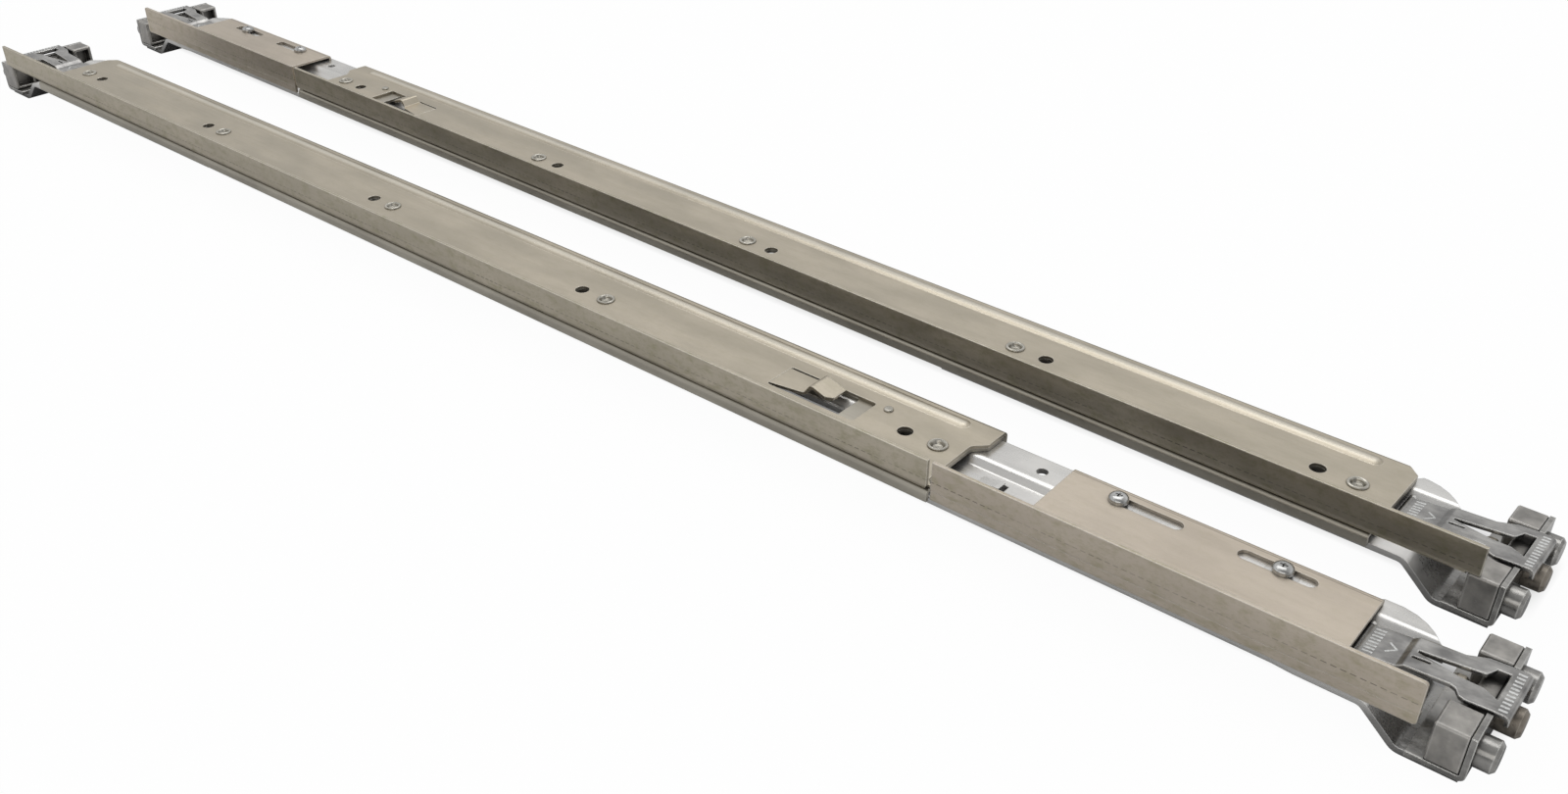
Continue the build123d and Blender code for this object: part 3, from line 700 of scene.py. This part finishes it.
def soften(piece, width, segments=2):
    """Bevel the sharp edges and shade the rest smooth."""
    bpy.context.view_layer.objects.active = piece
    corners = piece.modifiers.new("soft_corners", "BEVEL")
    corners.width = width
    corners.segments = segments
    corners.limit_method = "ANGLE"
    corners.angle_limit = bevel_above
    bpy.ops.object.modifier_apply(modifier=corners.name)
    bpy.ops.object.shade_smooth_by_angle(angle=smooth_below)


print("turning helpers: select_end, turned, soften")

# %% [markdown]
# A master is made once, about the middle of the ruler. Its copies are joined into one
# piece for each rail. The right rail is a mirror image, which turns a mesh inside out, so
# the normals are recalculated once the copies are in place. Each piece then rides on the
# body that carries it.

# %% Placing
def place_copies(master, side, places, name, body, slot, node=None, finish=None):
    """Copy a master to its places on one rail, join the copies and let them ride on a body."""
    bpy.ops.object.select_all(action="DESELECT")
    for x, y in places:
        copy = master.copy()
        copy.data = master.data.copy()
        bpy.context.scene.collection.objects.link(copy)
        copy.matrix_world = rail_frames[side] @ Matrix.Translation((x, y, 0))
        copy.select_set(True)
        bpy.context.view_layer.objects.active = copy
    if len(places) > 1:
        bpy.ops.object.join()
    bpy.ops.object.transform_apply(location=True, rotation=True, scale=True)
    bpy.ops.object.mode_set(mode="EDIT")
    bpy.ops.mesh.select_all(action="SELECT")
    bpy.ops.mesh.normals_make_consistent(inside=False)
    bpy.ops.object.mode_set(mode="OBJECT")
    piece = bpy.context.object
    piece.name = name
    piece.data.materials.clear()
    piece.data.materials.append(finish or finishes[side][slot])
    if node:
        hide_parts(node)
    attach(piece, body)
    print(name, "rides on", body)


# %% [markdown]
# The rivets are set from above. The tool flares the end into a low ring round a dish, and
# the tail or the shouldered head under the rail holds the channel and the brackets.

# %% Rivets
channel_floor = -2.4
bracket_floor = -4.8
bracket_under = -6.8
guide_under = -6.9
shank = 2.2
tail = 3.8
shoulder = 4.0
guide_collar = 2.9
guide_head = 5.0
plain_tail_end = -4.0
shouldered_tail_end = -8.3
guide_head_end = -8.4
web_stations = (254.0, 383.0)
bracket_stations = (0.0, 125.0)
guide_stations = (534.0,)
rivet_softness = 0.08
flare = ((3.5, 0.0), (3.5, 0.2), (3.35, 0.5), (3.05, 0.68), (2.75, 0.68), (2.45, 0.5),
         (2.2, 0.15), (2.0, -0.3), (1.7, -0.75), (0.9, -0.9))
through_web = ((shank, channel_floor), (shank, 0.0), *flare)
plain_rivet = turned("plain_rivet", ((tail, plain_tail_end), (tail, channel_floor),
                                     *through_web))
shouldered_rivet = turned("shouldered_rivet", (
    (tail, shouldered_tail_end), (tail, bracket_under), (shank, bracket_under),
    (shank, bracket_floor), (shoulder, bracket_floor), (shoulder, channel_floor), *through_web))
headed_rivet = turned("headed_rivet", (
    (guide_head, guide_head_end), (guide_head, guide_under), (guide_collar, guide_under),
    (guide_collar, channel_floor), *through_web))
rivet_sets = (("web_rivets", plain_rivet, web_stations),
              ("bracket_rivets", shouldered_rivet, bracket_stations),
              ("guide_rivet", headed_rivet, guide_stations))
for _, master, _ in rivet_sets:
    soften(master, rivet_softness)
for side in sides:
    for node, master, stations in rivet_sets:
        place_copies(master, side, [(x, mid_y) for x in stations], f"{side}_{node}_turned",
                     "main_rails", "rivet_steel", f"{side}_{node}")
for _, master, _ in rivet_sets:
    bpy.data.objects.remove(master)

# %% [markdown]
# ## Boxes with a drawn-in end
#
# The punch that forms a cross recess has four tapered wings, and a pressed pad has sloped
# sides. Both start as a box with one end face scaled down.

# %% Tapered block
def tapered_block(size, middle, taper, upward, turn=0.0):
    """Box about z whose top (1) or bottom (-1) face is drawn in to this share."""
    bpy.ops.object.select_all(action="DESELECT")
    bpy.ops.mesh.primitive_cube_add(size=1, location=(0, 0, middle), scale=size,
                                    rotation=(0, 0, turn))
    bpy.ops.object.transform_apply(location=True, rotation=True, scale=True)
    block = bpy.context.object
    bpy.ops.object.mode_set(mode="EDIT")
    select_end(block, upward)
    bpy.ops.transform.resize(value=(taper, taper, 1), center_override=(0, 0, 0))
    bpy.ops.object.mode_set(mode="OBJECT")
    return block


print("block helper: tapered_block")

# %% [markdown]
# The pan head screws are turned with a domed head, whose outline is a quarter of an
# ellipse. The cross recess is cut with two tapered bars and a Boolean modifier each.

# %% Screws
screw_tip = -6.7
screw_bevel = -0.4
screw_radius = 2.0
tip_radius = 1.6
head_radius = 4.0
head_height = 2.2
rim_height = 0.6
crown_radius = 1.2
dome_steps = 8
screw_segments = 48
wing_size = (3.6, 0.8, 2.0)
wing_taper = 0.35
screw_w = (-114.2, -62.3)
screw_y = 32.7
dome = [(crown_radius + (head_radius - crown_radius) * cos(step / dome_steps * pi / 2),
         rim_height + (head_height - rim_height) * sin(step / dome_steps * pi / 2))
        for step in range(dome_steps + 1)]
pan_screw = turned("pan_screw", ((tip_radius, screw_tip), (screw_radius, screw_bevel),
                                 (screw_radius, 0.0), (head_radius, 0.0), *dome),
                   screw_segments)
for quarter in (0, 1):
    wing = tapered_block(wing_size, head_height, wing_taper, -1, quarter * pi / 2)
    recess = pan_screw.modifiers.new("recess", "BOOLEAN")
    recess.operation = "DIFFERENCE"
    recess.solver = "EXACT"
    recess.object = wing
    bpy.context.view_layer.objects.active = pan_screw
    bpy.ops.object.modifier_apply(modifier=recess.name)
    bpy.data.objects.remove(wing)
bpy.context.view_layer.objects.active = pan_screw
bpy.ops.object.shade_smooth_by_angle(angle=smooth_below)
for side in sides:
    place_copies(pan_screw, side, [(rear_face_x + w, screw_y) for w in screw_w],
                 f"{side}_clamp_screws_turned", f"{side}_slide", "screw_steel",
                 f"{side}_clamp_screws")
bpy.data.objects.remove(pan_screw)

# %% [markdown]
# Under each slot of the ledge extension the sliding bracket has a pressed pad, on which the
# plate slides and which shows bright through the slot. It is a low block with sloped sides
# and rounded corners.

# %% Slide pads
pad_length = 30.0
pad_width = 9.6
pad_bottom = -2.5
pad_top = -1.25
pad_taper = 0.92
pad_softness = 0.4
pad_segments = 3
pad_w = (-104.7, -63.9)
pad_y = 34.6
slide_pad = tapered_block((pad_length, pad_width, pad_top - pad_bottom),
                          (pad_bottom + pad_top) / 2, pad_taper, 1)
soften(slide_pad, pad_softness, pad_segments)
for side in sides:
    place_copies(slide_pad, side, [(rear_face_x + w, pad_y) for w in pad_w],
                 f"{side}_slide_pads", f"{side}_slide", "bracket_zinc")
bpy.data.objects.remove(slide_pad)

# %% [markdown]
# ## Printed marks
#
# Each lever carries plain white ticks and an arrow. A mark is a flat strip, scaled and
# turned to its outline and laid on the lever: its points take the height of the bent sheet
# below them, and Solidify gives it the thickness of paint.

# %% Strips of paint
paint_thickness = 0.04
lever_profile = ((-35.0, -2.9), (-24.5, -1.9), (-22.5, -0.6), (0.6, 0.7), (5.3, 0.8))


def lever_level(w):
    """Height of the lever's upper face at w, outwards from the pin plate."""
    for (start, low), (end, high) in zip(lever_profile, lever_profile[1:]):
        if w <= end:
            return low + (high - low) * (w - start) / (end - start)
    return lever_profile[-1][1]


def strip(start, end, width):
    """Flat mark from start to end, both (w, y), laid on the lever."""
    run = Vector(end) - Vector(start)
    middle = (Vector(start) + Vector(end)) / 2
    bpy.ops.mesh.primitive_plane_add(size=1, location=(*middle, 0),
                                     rotation=(0, 0, atan2(run.y, run.x)))
    mark = bpy.context.object
    mark.scale = (run.length, width, 1)
    bpy.ops.object.transform_apply(location=True, rotation=True, scale=True)
    bpy.ops.object.mode_set(mode="EDIT")
    bpy.ops.mesh.subdivide(number_cuts=2)
    bpy.ops.object.mode_set(mode="OBJECT")
    for vertex in mark.data.vertices:
        vertex.co.z = lever_level(vertex.co.x) + paint_thickness / 2
    return mark


def tick_row(start_w, end_w, first_y, pitch, count, width):
    """Parallel ticks across the lever, each as the start, end and width of a strip."""
    levels = [first_y + pitch * step for step in range(count)]
    return [((start_w, y), (end_w, y), width) for y in levels]


print("lever rises from", lever_profile[0][1], "to", lever_profile[-1][1], "mm")

# %% [markdown]
# A row of ticks and an arrow are printed at the root of the lever, and a longer row runs
# along its bar. They are joined into one print, which is turned round for the front end.

# %% Marks on the levers
arrow_tip = (-26.0, mid_y + 1.2)
arrow_tails = ((-28.6, 21.0), (-28.6, 25.2))
arrow_width = 0.6
root_ticks = tick_row(start_w=-33.6, end_w=-30.8, first_y=18.4, pitch=1.5, count=8, width=0.75)
bar_ticks = tick_row(start_w=1.8, end_w=4.0, first_y=14.4, pitch=1.65, count=11, width=0.8)
arrow = [(arrow_tail, arrow_tip, arrow_width) for arrow_tail in arrow_tails]
mark_lines = root_ticks + arrow + bar_ticks
bpy.ops.object.select_all(action="DESELECT")
marks = [strip(*line) for line in mark_lines]
for mark in marks:
    mark.select_set(True)
bpy.context.view_layer.objects.active = marks[0]
bpy.ops.object.join()
lever_print = bpy.context.object
paint = lever_print.modifiers.new("paint", "SOLIDIFY")
paint.thickness = paint_thickness
paint.offset = 0
bpy.ops.object.modifier_apply(modifier=paint.name)
for side in sides:
    for end, face_x, outward in (("front", front_face_x, -1), ("rear", rear_face_x, 1)):
        end_print = lever_print.copy()
        end_print.data = lever_print.data.copy()
        end_print.data.transform(Matrix.Scale(outward, 4, (1, 0, 0)))
        place_copies(end_print, side, [(face_x, 0)], f"{side}_{end}_lever_marks",
                     f"{side}_{end}_latch", "latch_zinc", finish=marking_paint)
        bpy.data.objects.remove(end_print)
bpy.data.objects.remove(lever_print)
print("marks on each lever:", len(mark_lines))
